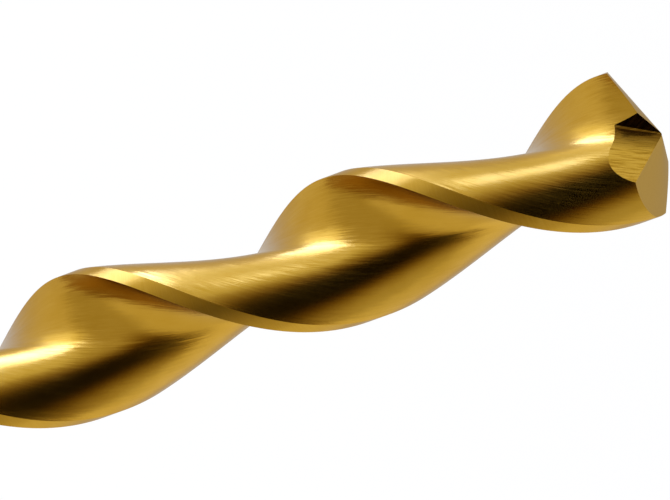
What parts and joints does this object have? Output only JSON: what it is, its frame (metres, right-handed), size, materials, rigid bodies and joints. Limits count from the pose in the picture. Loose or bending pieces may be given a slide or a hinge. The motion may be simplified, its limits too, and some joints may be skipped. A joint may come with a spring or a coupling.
{
  "type": "twist drill bit",
  "caption": "Right-hand jobber-length twist drill bit, gold-coated hardened steel, with a fast helix, thin lands, a split point and a plain straight shank.",
  "frame": {"origin": "centre of the shank's flat end face", "axes": "+Z along the drill's axis, from the shank to the point; +X through the outer corner of one cutting lip"},
  "size_m": [0.01, 0.01, 0.133],
  "materials": {
    "drill_bit": "satin gold nitride coating over ground steel"
  },
  "bodies": {
    "root": {"drill_bit": "drill_bit"}
  },
  "joints": []
}
